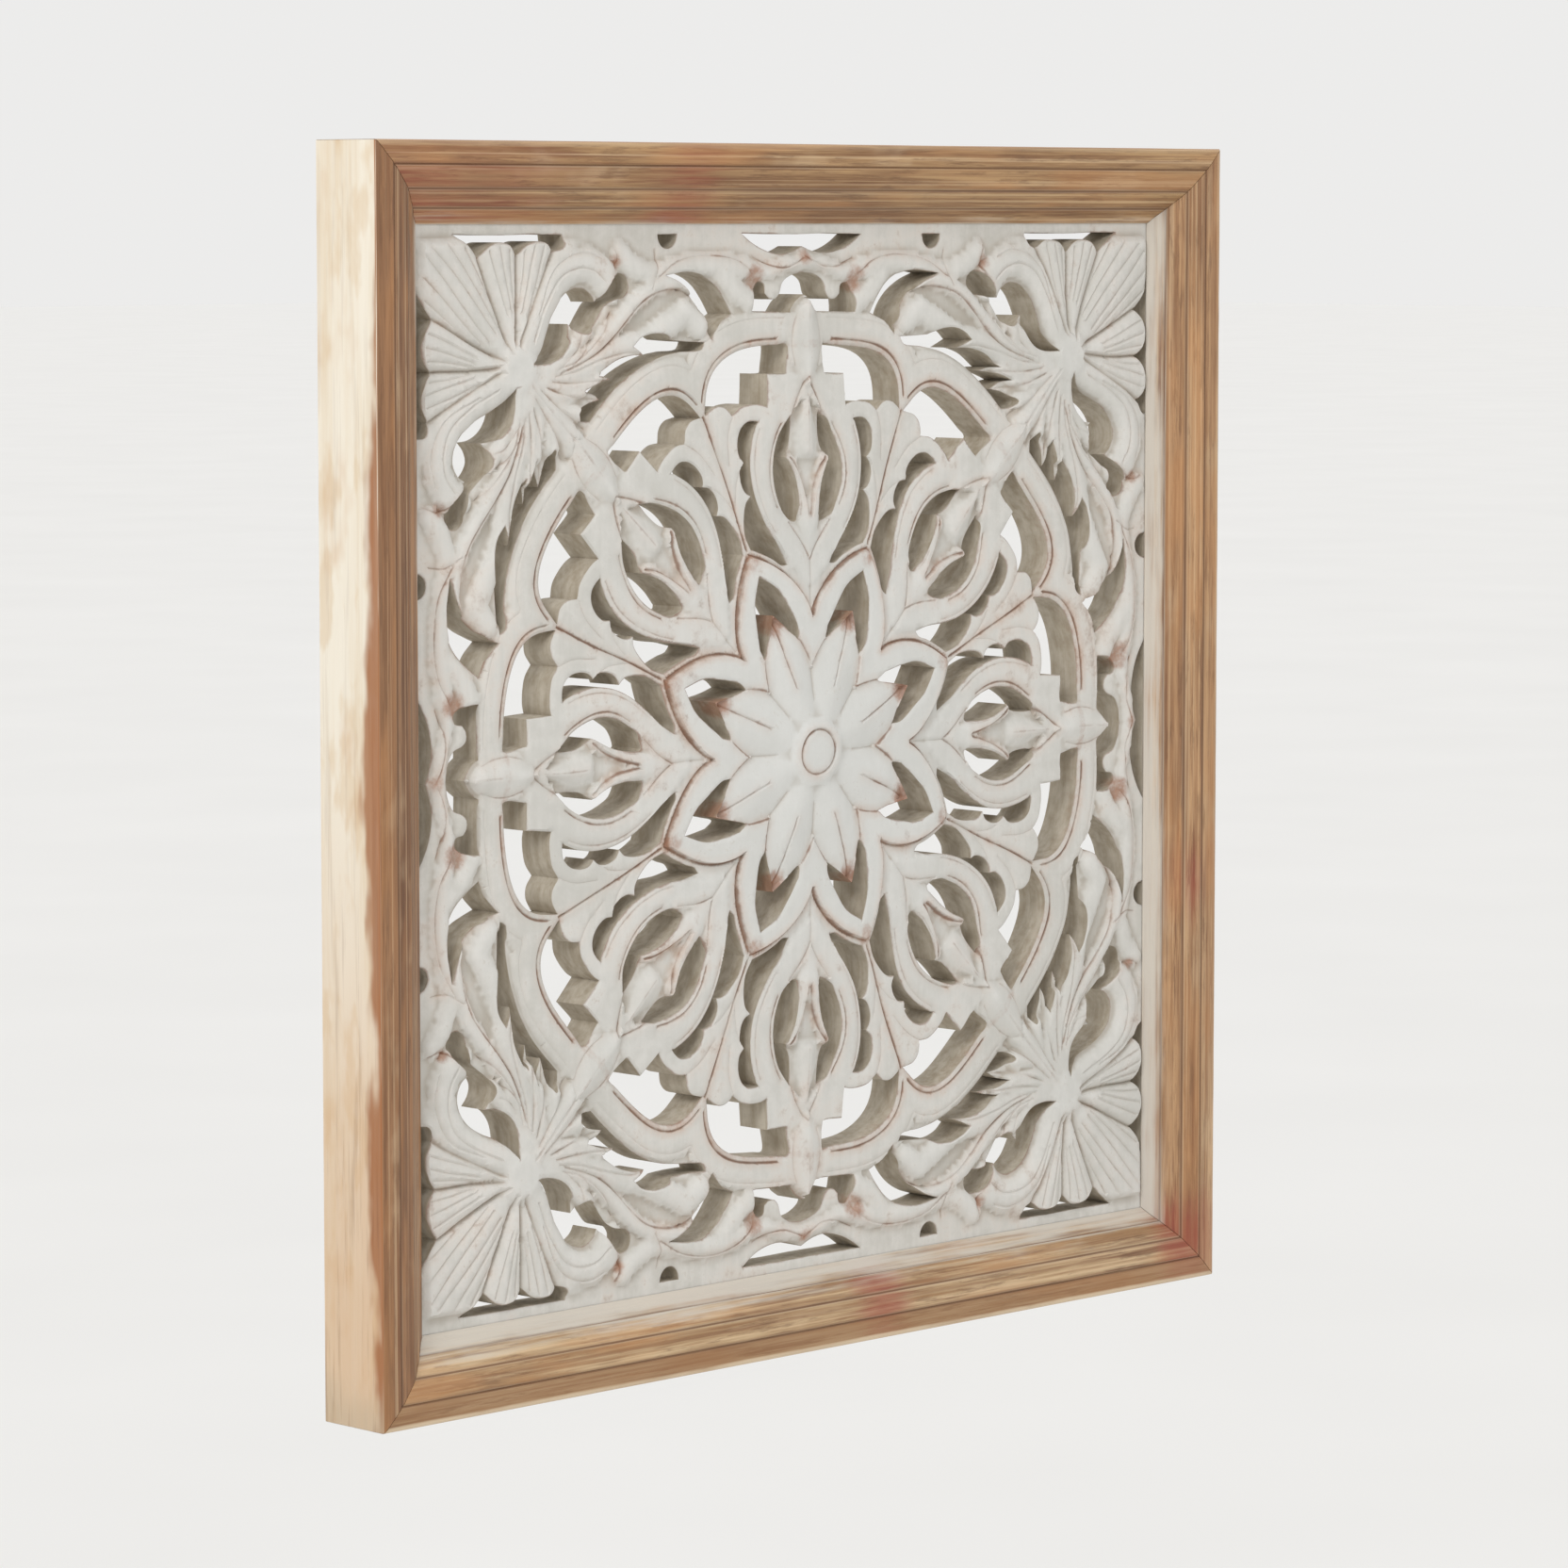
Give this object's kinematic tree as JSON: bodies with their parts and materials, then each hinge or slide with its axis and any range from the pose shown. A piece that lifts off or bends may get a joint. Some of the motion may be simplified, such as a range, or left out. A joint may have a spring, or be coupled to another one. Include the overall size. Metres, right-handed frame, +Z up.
{
  "type": "cutwork wall panel",
  "caption": "Rectangular carved and pierced wooden wall panel with a flower mandala inside a lobed ring, in a mitred moulded frame, to hang or fix on a wall.",
  "frame": {"origin": "on the back face of the top moulding, half way along it, where the panel touches the wall", "axes": "+Z up, +X to the viewer's right, -Y towards the viewer, +Y into the wall"},
  "size_m": [0.598, 0.043, 0.61],
  "materials": {
    "frame_top": "satin brown, worn edges, dark grooves",
    "frame_bottom": "satin brown, worn edges, dark grooves",
    "frame_left": "satin brown, worn edges, dark grooves",
    "frame_right": "satin brown, worn edges, dark grooves",
    "carved_panel": "chalky whitewash rubbed back to brown on the edges"
  },
  "bodies": {
    "root": {"frame_top": "frame_top", "frame_bottom": "frame_bottom", "frame_left": "frame_left", "frame_right": "frame_right", "carved_panel": "carved_panel"}
  },
  "joints": []
}
